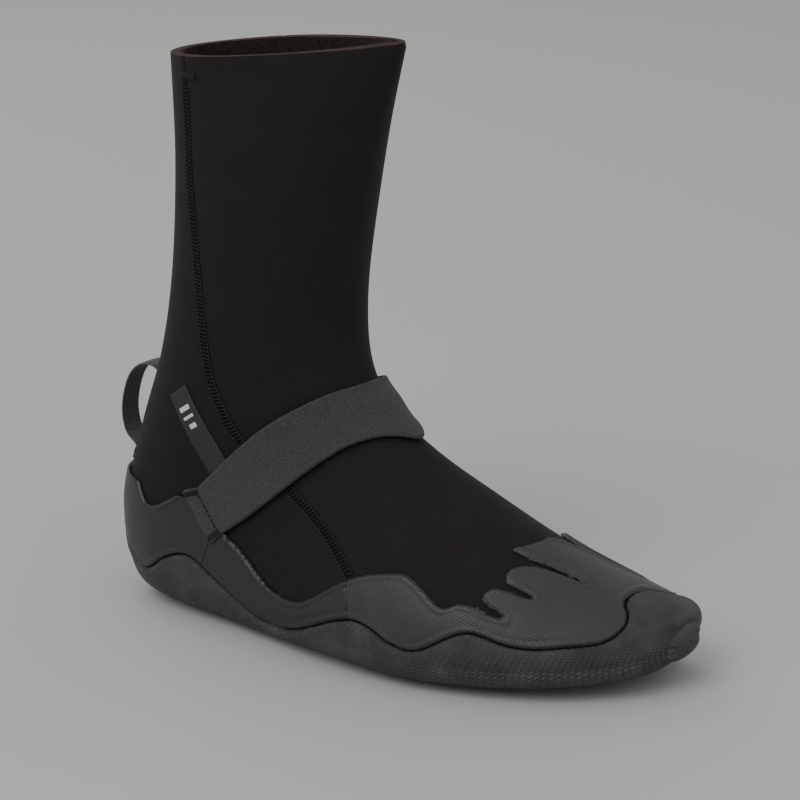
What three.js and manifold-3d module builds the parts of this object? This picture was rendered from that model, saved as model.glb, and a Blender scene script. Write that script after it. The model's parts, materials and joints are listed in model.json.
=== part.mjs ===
// A right-foot neoprene surf boot: a sewn sock of thick foam panels with a fabric lining, covered at the
// foot with moulded rubber, with a hook-and-loop strap over the instep and a webbing loop behind the heel.
// Millimetres, +Z up, toe towards +X, inner side towards +Y, origin on the floor under the middle.
import * as THREE from "three";
import { mergeVertices } from "three/addons/utils/BufferGeometryUtils.js";
import Module from "manifold-3d";

const wasm = await Module();
wasm.setup();

// ---- driving dimensions ----------------------------------------------------------------------------
const footLength = 284; // last, heel to toe
const ballWidth = 98; // last, across the ball of the foot
const instepHeight = 110; // floor to the bend of the ankle
const shaftHeight = 153; // bend of the ankle to the cuff
const foamThickness = 4.2;
const liningThickness = 0.8;
const seamTapeThickness = 0.5;
const seamTapeWidth = 12;
const rubberThickness = 1.7;
const soleSideThickness = 2.4;
const soleThickness = 6; // before the tread is trimmed flat on the floor
const grooveDepth = 1;
const grooveWidth = 1.8;
const stitchHeight = 0.5;
const stitchWidth = 4;
const strapThickness = 1.6;
const patchThickness = 0.7; // hook and loop pile
const tabThickness = 0.8; // size tab
const tabSplit = 10; // how far past the boot's middle the strap's free end folds back
const loopWidth = 12;
const loopThickness = 1.3;
const gap = 0.3; // between bonded or stacked layers
const hingeGap = 0.6; // where webbing folds

// ---- layers, as distances out from the foam's outer face -------------------------------------------
const foamIn = -foamThickness;
const liningOut = foamIn - gap;
const liningIn = liningOut - liningThickness;
const tapeOut = liningIn - gap;
const tapeIn = tapeOut - seamTapeThickness;
const rubberOut = gap + rubberThickness;
const strapIn = rubberOut + gap;
const strapOut = strapIn + strapThickness;
const loopPatchOut = gap + patchThickness;
const hookPatchIn = strapIn - gap - patchThickness;

// ---- the last: the pattern below is drawn at these sizes and graded to the ones above --------------
const pattern = { length: 284, width: 98, instep: 110, shaft: 153 };

function gradeX(x) {
  return (x * footLength) / pattern.length;
}
function gradeY(y) {
  return (y * ballWidth) / pattern.width;
}
function gradeZ(z) {
  const foot = Math.min(z, pattern.instep);
  const leg = Math.max(z - pattern.instep, 0);
  return (foot * instepHeight) / pattern.instep + (leg * shaftHeight) / pattern.shaft;
}

// Each station is a flat ring round the sock. front and back are its ends in side view, as [x, z];
// middle, outer and inner are its centre line and half widths in y; waist is how far up from the back its
// widest line lies; round is the exponent of its upper and lower half (2 is an ellipse, 3 is squarer).
function ring(front, back, middle, outer, inner, waist, round) {
  return { front, back, middle, outer, inner, waist, round };
}
const stations = [
  ring([148, 268.3], [30.8, 257.7], 1.5, 41.5, 37.5, 0.36, [1.65, 1.8]),
  ring([133, 215], [33, 209], 0.5, 40.5, 42.5, 0.47, [1.85, 1.95]),
  ring([124, 165], [30, 160], 0, 39, 40, 0.5, [2, 2]),
  ring([124, 135], [22, 120], 0, 38, 39, 0.48, [2, 2]),
  ring([130, 117.5], [8, 80], 0, 37.5, 38, 0.45, [2, 2]),
  ring([140, 108], [-1.2, 40], 0, 37, 37, 0.4, [2, 2.1]),
  ring([150, 99.5], [13.5, 10.8], -1, 37.5, 35.5, 0.35, [2, 2.4]),
  ring([168, 88.5], [70, 5.3], -1.5, 40, 36, 0.3, [2, 2.8]),
  ring([195, 75.5], [127, 6], -3, 47.5, 42, 0.28, [2, 3]),
  ring([224, 59], [182.5, 5.4], -1, 51, 47.5, 0.28, [2, 3]),
  ring([253, 42], [234, 8.6], 8, 43.5, 44.5, 0.3, [2, 2.8]),
  ring([275, 32.3], [266.5, 13], 16, 27.5, 29, 0.38, [2, 2.4]),
  ring([281.6, 27], [278.5, 19.5], 17, 11, 11, 0.5, [2, 2]),
];
const lastStation = stations.length - 1;
const toeRound = 2.5; // how far the toe bulges past the last ring
const toeInset = 0.4; // stations that an inner face stops short of the tip, for each mm of its depth
const toeStart = 7.5; // station where that begins
const ringsPerStation = 2;
const pointsPerRing = 32;

// Uniform Catmull-Rom curve through values, read at a station number.
function along(values, station) {
  const i = Math.min(Math.floor(station), values.length - 2);
  const t = station - i;
  const [b, c] = [values[i], values[i + 1]];
  const a = i > 0 ? values[i - 1] : 2 * b - c;
  const d = i + 2 < values.length ? values[i + 2] : 2 * c - b;
  return b + 0.5 * t * (c - a + t * (2 * a - 5 * b + 4 * c - d + t * (3 * (b - c) + d - a)));
}
function valuesOf(read) {
  return stations.map(read);
}
const curves = {
  frontX: valuesOf((s) => gradeX(s.front[0])),
  frontZ: valuesOf((s) => gradeZ(s.front[1])),
  backX: valuesOf((s) => gradeX(s.back[0])),
  backZ: valuesOf((s) => gradeZ(s.back[1])),
  middle: valuesOf((s) => gradeY(s.middle)),
  outer: valuesOf((s) => gradeY(s.outer)),
  inner: valuesOf((s) => gradeY(s.inner)),
  waist: valuesOf((s) => s.waist),
  roundTop: valuesOf((s) => s.round[0]),
  roundBottom: valuesOf((s) => s.round[1]),
};

// A point of the foam's outer face: angle 0 is the front or top of the ring, 90 degrees its outer (-Y) side.
// Past the last station the ring closes to a point on a quarter ellipse.
function lastPoint(station, angle) {
  const ring = Math.min(station, lastStation);
  const at = (name) => along(curves[name], ring);
  const cos = Math.cos(angle);
  const sin = Math.sin(angle);
  const power = 2 / (cos > 0 ? at("roundTop") : at("roundBottom"));
  const rise = Math.abs(cos) ** power;
  const width = Math.abs(sin) ** power;
  const waistX = at("backX") + at("waist") * (at("frontX") - at("backX"));
  const waistZ = at("backZ") + at("waist") * (at("frontZ") - at("backZ"));
  const end = cos > 0 ? [at("frontX"), at("frontZ")] : [at("backX"), at("backZ")];
  const point = new THREE.Vector3(
    waistX + (end[0] - waistX) * rise,
    at("middle") + (sin > 0 ? -at("outer") : at("inner")) * width,
    waistZ + (end[1] - waistZ) * rise,
  );
  if (station <= lastStation) return point;
  const closing = ((station - lastStation) * Math.PI) / 2;
  const centre = new THREE.Vector3(
    (at("frontX") + at("backX")) / 2,
    at("middle"),
    (at("frontZ") + at("backZ")) / 2,
  );
  point.sub(centre).multiplyScalar(Math.cos(closing)).add(centre);
  point.x += gradeX(toeRound) * Math.sin(closing);
  return point;
}

function lastNormal(station, angle) {
  const step = 0.02;
  const low = Math.max(station - step, 0);
  const high = Math.min(station + step, lastStation + 0.9);
  const lengthwise = lastPoint(high, angle).sub(lastPoint(low, angle));
  const around = lastPoint(station, angle + step).sub(lastPoint(station, angle - step));
  return lengthwise.cross(around).normalize().negate();
}

// The station that an inner face takes its point from: near the tip, where the sock is thinner than twice
// its depth, it keeps back.
function heldBack(station, distance) {
  const share = Math.max(station - toeStart, 0) / (lastStation + 0.75 - toeStart);
  return station - toeInset * Math.max(-distance, 0) * share ** 2;
}

// The layer between two distances from the last, from one station to another, as one closed mesh. Each
// distance is a number or a function of the outward normal. Past the last station the toe is closed;
// before it the end is cut off.
function layer(inside, outside, from = 0, to = lastStation + 1) {
  const closed = to > lastStation;
  const rings = [];
  const last = closed ? lastStation + 0.75 : to;
  for (let s = from; s < last - 1e-6; s += 1 / ringsPerStation) rings.push(s);
  rings.push(last);
  const positions = [];
  const triangles = [];
  const distance = (value, normal) => (typeof value === "function" ? value(normal) : value);
  for (const value of [inside, outside]) {
    for (const ring of rings) {
      const s = heldBack(ring, typeof value === "function" ? 0 : value);
      for (let k = 0; k < pointsPerRing; k++) {
        const angle = (2 * Math.PI * k) / pointsPerRing;
        const normal = lastNormal(s, angle);
        const point = lastPoint(s, angle).addScaledVector(normal, distance(value, normal));
        positions.push(...point.toArray());
      }
    }
  }
  const vertex = (side, ring, k) => (side * rings.length + ring) * pointsPerRing + (k % pointsPerRing);
  const quad = (a, b, c, d) => triangles.push(a, b, c, a, c, d);
  for (let k = 0; k < pointsPerRing; k++) {
    for (let r = 0; r + 1 < rings.length; r++) {
      quad(vertex(1, r, k), vertex(1, r, k + 1), vertex(1, r + 1, k + 1), vertex(1, r + 1, k));
      quad(vertex(0, r, k), vertex(0, r + 1, k), vertex(0, r + 1, k + 1), vertex(0, r, k + 1));
    }
    quad(vertex(0, 0, k), vertex(0, 0, k + 1), vertex(1, 0, k + 1), vertex(1, 0, k));
    if (!closed) {
      const r = rings.length - 1;
      quad(vertex(1, r, k), vertex(1, r, k + 1), vertex(0, r, k + 1), vertex(0, r, k));
    }
  }
  if (closed) {
    for (const side of [0, 1]) {
      const tip = positions.length / 3;
      const ring = new THREE.Vector3();
      for (let k = 0; k < pointsPerRing; k++) {
        ring.add(new THREE.Vector3().fromArray(positions, 3 * vertex(side, rings.length - 1, k)));
      }
      positions.push(...ring.divideScalar(pointsPerRing).toArray());
      for (let k = 0; k < pointsPerRing; k++) {
        const [a, b] = [vertex(side, rings.length - 1, k), vertex(side, rings.length - 1, k + 1)];
        triangles.push(...(side ? [a, b, tip] : [b, a, tip]));
      }
    }
  }
  const geometry = new THREE.BufferGeometry();
  geometry.setAttribute("position", new THREE.Float32BufferAttribute(positions, 3));
  geometry.setIndex(triangles);
  return geometry;
}

// ---- solids and cutters ----------------------------------------------------------------------------
function solid(geometry) {
  const bare = new THREE.BufferGeometry();
  bare.setAttribute("position", geometry.getAttribute("position"));
  if (geometry.index) bare.setIndex(geometry.index);
  const merged = mergeVertices(bare, 1e-4);
  const mesh = new wasm.Mesh({
    numProp: 3,
    vertProperties: new Float32Array(merged.attributes.position.array),
    triVerts: new Uint32Array(merged.index.array),
  });
  return new wasm.Manifold(mesh);
}
function geometryOf(manifold) {
  const mesh = manifold.getMesh();
  const geometry = new THREE.BufferGeometry();
  geometry.setAttribute("position", new THREE.Float32BufferAttribute(mesh.vertProperties, 3));
  geometry.setIndex(new THREE.Uint32BufferAttribute(mesh.triVerts, 1));
  return geometry;
}

const reach = 400; // longer than anything a cutter has to pass through

// Points of a smooth curve through [a, b] pairs of the pattern.
function smooth(points, steps = 2) {
  const curve = new THREE.SplineCurve(points.map(([a, b]) => new THREE.Vector2(a, b)));
  return curve.getPoints(steps * (points.length - 1)).map((p) => [p.x, p.y]);
}
function shifted(points, da, db) {
  return points.map(([a, b]) => [a + da, b + db]);
}
// A prism along Y over a side-view outline of [x, z] pairs, graded to size, between two y values.
function sideCut(outline, yLow = -reach, yHigh = reach) {
  const shape = new THREE.Shape(outline.map(([x, z]) => new THREE.Vector2(gradeX(x), gradeZ(z))));
  const geometry = new THREE.ExtrudeGeometry(shape, { depth: yHigh - yLow, bevelEnabled: false });
  geometry.rotateX(Math.PI / 2).translate(0, yHigh, 0);
  return solid(geometry);
}
// A prism along Z over a plan outline of [x, y] pairs, graded to size, from zLow up.
function planCut(outline, zLow) {
  const shape = new THREE.Shape(outline.map(([x, y]) => new THREE.Vector2(gradeX(x), gradeY(y))));
  const geometry = new THREE.ExtrudeGeometry(shape, { depth: reach, bevelEnabled: false });
  geometry.translate(0, 0, zLow);
  return solid(geometry);
}
// A line moved sideways, to its left as drawn.
function beside(line, by) {
  return line.map(([x, z], i) => {
    const [before, after] = [line[Math.max(i - 1, 0)], line[Math.min(i + 1, line.length - 1)]];
    const along = new THREE.Vector2(after[0] - before[0], after[1] - before[1]).normalize();
    return [x - along.y * by, z + along.x * by];
  });
}
// The strip of a side view within half a width of a line.
function strip(line, width) {
  return [...beside(line, width / 2), ...beside(line, -width / 2).reverse()];
}
// An outline with each point moved out from its middle.
function grown(outline, by) {
  const middle = [0, 1].map((i) => outline.reduce((sum, point) => sum + point[i], 0) / outline.length);
  return outline.map((point) => {
    const away = Math.hypot(point[0] - middle[0], point[1] - middle[1]);
    return point.map((value, i) => value + ((value - middle[i]) / away) * by);
  });
}

// Cutters for everything below, above, ahead of or behind a side-view line, and for one side of the boot.
const beyond = { low: -60, high: 330, top: 330 };
const level = (z) => [[beyond.low, z], [beyond.high, z]];
const skyLine = [[beyond.high, beyond.top], [beyond.low, beyond.top]];
const groundLine = [[beyond.high, beyond.low], [beyond.low, beyond.low]];
function levelledOff(line) {
  return [[beyond.low, line[0][1]], ...line, [beyond.high, line.at(-1)[1]]];
}
function below(line) {
  return sideCut([...levelledOff(line), ...groundLine]);
}
function above(line) {
  return sideCut([...levelledOff(line), ...skyLine]);
}
function ahead(line) {
  return sideCut([...line, [beyond.high, line.at(-1)[1]], [beyond.high, line[0][1]]]);
}
function behind(line) {
  return sideCut([...line, [beyond.low, line.at(-1)[1]], [beyond.low, line[0][1]]]);
}
const outerSide = [-reach, 0];
const innerSide = [0, reach];
function oneSide(side) {
  return sideCut([...groundLine, ...[...skyLine].reverse()], ...side);
}

// ---- pattern lines, in side view [x, z] unless they say plan ---------------------------------------
const seamLine = smooth([
  [59, 268], [60, 240], [61, 205], [64, 177], [67, 147], [70, 122], [76, 105], [85, 90.5], [108, 73],
  [124, 63], [141, 51.5], [152, 43],
]);
const seamFoot = [[162, 28], [168, -20]];
const soleSeam = [[-40, 13], [225, 13], [262, 16], [277, 20], [320, 20]];
// Top edge of the outsole: a flap up the heel, a low wave down the arch, a crest at the ball.
const waveLine = smooth([
  [-12, 36], [4, 27.5], [15, 22.5], [24, 18.4], [32, 21], [41, 27.2], [48.4, 30.8], [55.2, 32.5],
  [61.5, 31.5], [68, 27.8], [77, 22.7], [87.5, 17], [97.3, 13], [108.4, 11.5], [122.3, 13.6],
  [134.3, 17.9], [143.7, 22], [152.4, 25], [159.4, 26.2], [168.2, 24.5], [176, 21.3], [184, 19.3],
  [191.3, 20], [198.6, 23.7], [205.3, 27.7], [211.4, 30.3], [217, 30.2], [224.3, 27.8],
  [231.6, 25.9], [240, 25.3], [249, 26], [257, 26.5],
]);
// Where the outsole's edge turns up over the toe.
const bumperEdge = smooth([
  [257, 26.5], [261, 27], [264.5, 28.6], [266.4, 31], [266.2, 33.2], [264.3, 35.5], [261.3, 37.6],
  [259.3, 39.6], [258.5, 44],
]);
const flexGrooves = [48, 62, 170, 184, 198, 212, 226]; // across the tread at the heel and under the ball
// Top edge of the rubber: a tongue up the back, a peak under the strap, a dip at the arch and a lobe at
// the ball.
const rubberLine = smooth([
  [-12, 91], [8, 91], [17, 90.5], [24, 88.5], [26.3, 84.5], [23.5, 78.5], [21.6, 71.7], [22.3, 64],
  [25.8, 56.5], [30.5, 51.5], [36, 52], [43, 55.4], [50, 60], [55, 64], [60, 66.7], [67, 65.3],
  [74, 54.6], [80, 46.8], [86, 43], [92, 38.6], [99.7, 32.4], [108, 28.2], [116.2, 26.2],
  [125.9, 27.1], [133.2, 30.8], [139.7, 35.2], [146, 39.2], [152.3, 42.6], [160, 45.8],
  [169, 48.2], [178.2, 49.5], [184.8, 47.9], [190.2, 45.2], [195.7, 41.8], [199.8, 39.8],
  [203.1, 40.2], [206, 41.5],
]);
const vampEnd = 204; // x where the fingers' outline takes over from the side view
const heelJoin = [[77, 60], [66, 29], [58, -20]];
const ballJoin = [[147, 60], [156, 26], [164, -20]];
// Plan outline of the toe cap's four fingers, from the outer side to the inner side.
const fingerLine = smooth([
  [205, -45], [209, -44], [214, -42.6], [219, -41.5], [225.6, -38.9], [220, -39.7], [216, -39.6],
  [215.9, -37.5], [219, -34.6], [224, -32.2], [228.5, -30.2], [232.8, -27.7], [228, -28.6],
  [223.4, -30.2], [220.2, -29], [220.6, -25.8], [224, -20.4], [230, -14.7], [236.5, -10.1],
  [244.6, -4.6], [237, -8.6], [229.5, -12.9], [221.5, -17.1], [213.6, -18.9], [212, -16.8],
  [215.5, -11.5], [219, -4.5], [222.5, 4], [226.5, 10.8], [231.5, 16.8], [237.5, 22.6],
  [243.5, 28.6], [250, 34.5], [242.4, 30.6], [236.2, 25.2], [230, 21], [225, 19.6], [219.5, 20.3],
  [215.5, 24.3], [216.5, 33], [222, 41], [214, 43.5], [205, 44.5],
]);
// The instep strap: its sewn anchor at the outer side, its two edges up to the bend of the ankle, and the
// outline of its free end on the inner side.
const anchorFold = { top: [64, 66.3], bottom: [78.6, 47.2] };
const anchorEnd = { top: [55.3, 63.4], bottom: [72.3, 41.3] };
const strapTop = smooth([
  anchorFold.top, [88, 91], [101.7, 102.4], [113.8, 110.2], [122.9, 114.9], [131, 116.8],
]);
const strapBottom = smooth([
  [158, 94.2], [151, 96.2], [143, 95.8], [132.7, 91.6], [118.6, 80.6], [104.5, 68], [91, 56.5],
  anchorFold.bottom,
]);
const overIt = [[150, 118], [178, 100]];
const strapOutline = [...strapTop, ...overIt, ...strapBottom];
const tabOutline = [
  [86, 78], [83.5, 80.5], [84.2, 84.5], [98, 98.5], [113.8, 110.2], [131, 116.8], ...overIt,
  ...strapBottom.slice(0, 9), [104, 69.5], [99, 69],
];
const hookOutline = [[88, 81], [112, 104], [124, 93], [100, 72]];
const loopPatchOutline = [[84, 77], [110, 101.5], [125, 88.5], [99, 66]];
const sizeTabOutline = [[46.4, 105.7], [56.6, 112.7], [78.6, 79.5], [69.2, 72.5]];
const cuffBartack = [[58, 254], [67, 254], [67, 250.5], [58, 250.5]];
const stitchTop = 248;
const stitchSplit = 82; // under the strap, where one run of seam stitching ends and the next begins
// Centre line of the heel loop's webbing, top end first, and the flat ends sewn to the boot.
const pullLine = smooth([
  [17, 106.8], [12.5, 107.3], [7, 107.6], [1.5, 105], [-2.8, 99.5], [-5.7, 91.5], [-6.9, 84],
  [-6.4, 77.5], [-4.2, 72], [0, 66.5], [2.2, 62.5],
], 3);
const pullSewn = { top: { low: 97, high: 107.6 }, bottom: { low: 58, high: 67.5 } };
const pullFree = { first: 3, last: 23 }; // points of the line between which the webbing hangs free
const pullNeck = 1.5; // half width of the free webbing at its ends, so that it can swing

const meshes = new THREE.Group();
function place(name, manifold, material) {
  const mesh = new THREE.Mesh(geometryOf(manifold), material);
  mesh.name = name;
  meshes.add(mesh);
  return mesh;
}
function material(color, roughness) {
  return new THREE.MeshStandardMaterial({ color, roughness, metalness: 0 });
}
const jersey = material(0x242121, 0.9); // nylon-faced foam
const fleece = material(0x1c1918, 1);
const smoothRubber = material(0x4a4846, 0.5);
const grainRubber = material(0x4b4b4b, 0.55);
const soleRubber = material(0x444444, 0.6);
const thread = material(0x161616, 0.7);
const webbing = material(0x45454a, 0.85);
const pile = material(0x202022, 1);
const printedTape = material(0x2c2c2e, 0.6);
const seamTape = material(0x1a1a1a, 0.7);

// ---- the sewn sock ---------------------------------------------------------------------------------
function sock() {
  const foam = solid(layer(foamIn, 0));
  const seam = [...seamLine, ...seamFoot];
  const upper = foam.intersect(above(shifted(soleSeam, 0, gap / 2)));
  place("front_panel", upper.intersect(ahead(shifted(seam, gap / 2, 0))), jersey);
  place("rear_panel", upper.intersect(behind(shifted(seam, -gap / 2, 0))), jersey);
  place("sole_panel", foam.intersect(below(shifted(soleSeam, 0, -gap / 2))), jersey);
  place("thermal_lining", solid(layer(liningIn, liningOut)), fleece);

  const seamRun = [0.5, 8.5]; // stations
  const tape = solid(layer(tapeIn, tapeOut, ...seamRun)).intersect(sideCut(strip(seamLine, seamTapeWidth)));
  const stitch = solid(layer(gap, gap + stitchHeight, ...seamRun))
    .intersect(sideCut(strip(seamLine, stitchWidth)))
    .intersect(above(shifted(rubberLine, 0, 1.5)))
    .intersect(below(level(stitchTop)));
  const bartack = solid(layer(gap, gap + stitchHeight, 0, 1)).intersect(sideCut(cuffBartack));
  for (const [side, half] of [["outer", outerSide], ["inner", innerSide]]) {
    const room = oneSide(half);
    place(`${side}_seam_tape`, tape.intersect(room), seamTape);
    const patch = side === "inner" ? loopPatchOutline : sizeTabOutline;
    const seen = stitch.intersect(room).subtract(sideCut(grown(patch, 1), ...half));
    place(`${side}_shaft_stitch`, seen.intersect(above(level(stitchSplit + gap / 2))), thread);
    place(`${side}_foot_stitch`, seen.intersect(below(level(stitchSplit - gap / 2))), thread);
    place(`${side}_cuff_bartack`, bartack.intersect(room), thread);
  }
}

// ---- moulded rubber --------------------------------------------------------------------------------
// Below the outsole's top edge, moved by an amount, and everything ahead of where it turns up over the toe.
function soleZone(clearance) {
  const edge = beside([...waveLine, ...bumperEdge.slice(1)], clearance);
  const overToe = [edge.at(-1)[0], beyond.top];
  return sideCut([...edge, overToe, skyLine[0], ...groundLine, [beyond.low, edge[0][1]]]);
}

function rubber() {
  const downward = (normal) => THREE.MathUtils.smoothstep(-normal.z, 0.35, 0.95);
  const soleOut = (normal) =>
    gap + soleSideThickness + (soleThickness - soleSideThickness) * downward(normal);
  let outsole = solid(layer(gap, soleOut, 4.5)).intersect(soleZone(0)).intersect(above(level(0)));
  for (const x of flexGrooves) {
    const half = grooveWidth / 2 / gradeX(1);
    const top = grooveDepth / gradeZ(1);
    outsole = outsole.subtract(sideCut([[x - half, -5], [x + half, -5], [x + half, top], [x - half, top]]));
  }
  place("outsole", outsole, soleRubber);

  const vampLine = [...rubberLine, [vampEnd + 1, beyond.top], skyLine[1], [beyond.low, rubberLine[0][1]]];
  const toeOutline = [...fingerLine, [vampEnd, 44.5], [vampEnd, -44.5]];
  const foxing = solid(layer(gap, rubberOut, 3))
    .subtract(soleZone(gap))
    .subtract(sideCut(vampLine))
    .subtract(planCut(toeOutline, gradeZ(34)));
  place("heel_cup", foxing.intersect(behind(shifted(heelJoin, -gap / 2, 0))), smoothRubber);
  const rand = foxing
    .intersect(ahead(shifted(heelJoin, gap / 2, 0)))
    .intersect(behind(shifted(ballJoin, -gap / 2, 0)));
  place("outer_rand", rand.intersect(oneSide(outerSide)), smoothRubber);
  place("inner_rand", rand.intersect(oneSide(innerSide)), smoothRubber);
  place("toe_cap", foxing.intersect(ahead(shifted(ballJoin, gap / 2, 0))), grainRubber);
}

// ---- strap and patches -----------------------------------------------------------------------------
function mix(a, b, t) {
  return a.map((value, i) => value + (b[i] - value) * t);
}
// The part of the strap's anchor between two shares of its length and two shares of its width.
function anchorPart([start, end], [top, bottom]) {
  const corner = (along, across) =>
    mix(mix(anchorEnd.top, anchorFold.top, along), mix(anchorEnd.bottom, anchorFold.bottom, along), across);
  const corners = [corner(start, top), corner(start, bottom), corner(end, bottom), corner(end, top)];
  return sideCut(corners, ...outerSide);
}

function strap() {
  const overlay = (inside, outside) => solid(layer(inside, outside, 2, 9.5));
  const band = overlay(strapIn, strapOut);
  const inner = (outline, start) => sideCut(outline, tabSplit + start, reach);
  place("strap_anchor", band.intersect(anchorPart([0, 0.94], [0, 1])), webbing);
  place("instep_strap", band.intersect(sideCut(strapOutline, -reach, tabSplit - hingeGap / 2)), webbing);
  place("strap_free_end", band.intersect(inner(tabOutline, hingeGap / 2)), webbing);
  place("hook_patch", overlay(hookPatchIn, strapIn - gap).intersect(inner(hookOutline, 2)), pile);
  place("loop_patch", overlay(gap, loopPatchOut).intersect(inner(loopPatchOutline, 2)), pile);

  const sewing = overlay(strapOut + gap, strapOut + gap + stitchHeight);
  place("anchor_stitch", sewing.intersect(anchorPart([0.68, 0.86], [0, 1])), thread);
  place("anchor_bartack_top", sewing.intersect(anchorPart([0.08, 0.6], [0.05, 0.16])), thread);
  place("anchor_bartack_bottom", sewing.intersect(anchorPart([0.08, 0.6], [0.84, 0.95])), thread);
}

function sizeTab() {
  const tab = solid(layer(gap, gap + tabThickness, 2, 7));
  place("size_tab", tab.intersect(sideCut(sizeTabOutline, ...outerSide)), printedTape);
}

// ---- heel loop -------------------------------------------------------------------------------------
// A ribbon of webbing along a side-view line, with its own half width at each point.
function ribbon(line, halfWidth) {
  const points = line.map(([x, z]) => new THREE.Vector2(gradeX(x), gradeZ(z)));
  const positions = [];
  const triangles = [];
  points.forEach((point, i) => {
    const [before, after] = [points[Math.max(i - 1, 0)], points[Math.min(i + 1, points.length - 1)]];
    const run = after.clone().sub(before).normalize();
    const out = new THREE.Vector2(-run.y, run.x).multiplyScalar(loopThickness / 2);
    for (const [face, edge] of [[1, 1], [1, -1], [-1, -1], [-1, 1]]) {
      positions.push(point.x + face * out.x, edge * halfWidth(i), point.y + face * out.y);
    }
    if (i === 0) return;
    for (let k = 0; k < 4; k++) {
      const [a, b] = [4 * (i - 1) + k, 4 * (i - 1) + ((k + 1) % 4)];
      triangles.push(a, b, b + 4, a, b + 4, a + 4);
    }
  });
  const end = positions.length / 3 - 4;
  triangles.push(0, 3, 2, 0, 2, 1, end, end + 1, end + 2, end, end + 2, end + 3);
  const geometry = new THREE.BufferGeometry();
  geometry.setAttribute("position", new THREE.Float32BufferAttribute(positions, 3));
  geometry.setIndex(triangles);
  return solid(geometry);
}

function pullLoop() {
  const half = loopWidth / 2;
  const sewnEnd = (base, { low, high }, line) => {
    const flat = solid(layer(base, base + loopThickness, 2, 7));
    const height = sideCut([[-40, low], [30, low], [30, high], [-40, high]], -half, half);
    const under = solid(layer(foamIn, base, 2, 7));
    return flat.intersect(height).add(ribbon(line, () => half).subtract(under));
  };
  const { first, last } = pullFree;
  place("loop_end_top", sewnEnd(gap, pullSewn.top, pullLine.slice(0, first)), webbing);
  place("loop_end_bottom", sewnEnd(rubberOut + gap, pullSewn.bottom, pullLine.slice(last + 1)), webbing);
  const free = pullLine.slice(first, last + 1);
  const growth = (i) => Math.min(i, free.length - 1 - i) / 3;
  const taper = (i) => pullNeck + (half - pullNeck) * Math.min(growth(i), 1);
  place("heel_pull_loop", ribbon(free, taper), webbing);
}

rubber();
sock();
strap();
sizeTab();
pullLoop();

const box = new THREE.Box3().setFromObject(meshes);
const boot = new THREE.Group();
meshes.position.set(-(box.min.x + box.max.x) / 2, -(box.min.y + box.max.y) / 2, -box.min.z);
boot.add(meshes);
export default boot;
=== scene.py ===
import json
import math

import bmesh
import bpy
import numpy as np
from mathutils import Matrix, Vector


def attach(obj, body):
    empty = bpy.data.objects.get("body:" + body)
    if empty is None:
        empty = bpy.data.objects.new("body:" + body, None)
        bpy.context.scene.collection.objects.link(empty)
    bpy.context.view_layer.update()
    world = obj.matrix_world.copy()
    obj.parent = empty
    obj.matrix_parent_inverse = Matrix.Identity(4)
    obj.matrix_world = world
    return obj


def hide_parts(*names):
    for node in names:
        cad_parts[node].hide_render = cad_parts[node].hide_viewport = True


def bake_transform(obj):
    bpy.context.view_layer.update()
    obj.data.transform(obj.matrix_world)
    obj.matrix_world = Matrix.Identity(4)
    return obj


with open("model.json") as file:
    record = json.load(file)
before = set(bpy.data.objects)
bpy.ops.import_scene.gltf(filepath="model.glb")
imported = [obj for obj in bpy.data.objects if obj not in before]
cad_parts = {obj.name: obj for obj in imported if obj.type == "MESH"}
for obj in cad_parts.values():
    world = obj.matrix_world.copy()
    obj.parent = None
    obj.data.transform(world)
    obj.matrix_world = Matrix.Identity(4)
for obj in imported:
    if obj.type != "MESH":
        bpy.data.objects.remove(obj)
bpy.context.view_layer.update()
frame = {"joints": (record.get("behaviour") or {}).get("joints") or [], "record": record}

# ---- the last, in millimetres: the same pattern as the frame's ------------------------------------------

# Each station is a flat ring round the sock: front and back ends in side view (x, z), then its middle and
# its outer and inner half widths in y, where its widest line lies, and the exponents of its upper and lower
# half.
STATIONS = np.array([
    (148, 268.3, 30.8, 257.7, 1.5, 41.5, 37.5, 0.36, 1.65, 1.8),
    (133, 215, 33, 209, 0.5, 40.5, 42.5, 0.47, 1.85, 1.95),
    (124, 165, 30, 160, 0, 39, 40, 0.5, 2, 2),
    (124, 135, 22, 120, 0, 38, 39, 0.48, 2, 2),
    (130, 117.5, 8, 80, 0, 37.5, 38, 0.45, 2, 2),
    (140, 108, -1.2, 40, 0, 37, 37, 0.4, 2, 2.1),
    (150, 99.5, 13.5, 10.8, -1, 37.5, 35.5, 0.35, 2, 2.4),
    (168, 88.5, 70, 5.3, -1.5, 40, 36, 0.3, 2, 2.8),
    (195, 75.5, 127, 6, -3, 47.5, 42, 0.28, 2, 3),
    (224, 59, 182.5, 5.4, -1, 51, 47.5, 0.28, 2, 3),
    (253, 42, 234, 8.6, 8, 43.5, 44.5, 0.3, 2, 2.8),
    (275, 32.3, 266.5, 13, 16, 27.5, 29, 0.38, 2, 2.4),
    (281.6, 27, 278.5, 19.5, 17, 11, 11, 0.5, 2, 2),
])
END = len(STATIONS) - 1  # the last ring; the toe closes to a point one station on
TOE_ROUND = 2.5
# Faces deep in the toe stop short of its tip: at the tip, by this many stations for each millimetre of
# depth, growing from this station on.
TOE_INSET, TOE_START = 0.4, 7.5
MOUNT = next(m for m in frame["record"]["mounts"] if m["name"] == "ball_rest")["pos_m"]
SHIFT = np.array([MOUNT[0] * 1000 - 191, MOUNT[1] * 1000, 0.0])  # the pattern's origin in the frame

GAP = 0.3
FOAM, LINING, TAPE = 4.2, 0.8, 0.5
RUBBER, SOLE_SIDE, SOLE = 1.7, 2.4, 6.0
STRAP, PILE, SIZE_TAB = 1.6, 0.7, 0.8
STRAP_IN = GAP + RUBBER + GAP
TAB_SPLIT = 10


def metres(points):
    """Points of the pattern, moved to the frame's origin and turned to metres."""
    return (np.asarray(points, float) + SHIFT) / 1000


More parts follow.
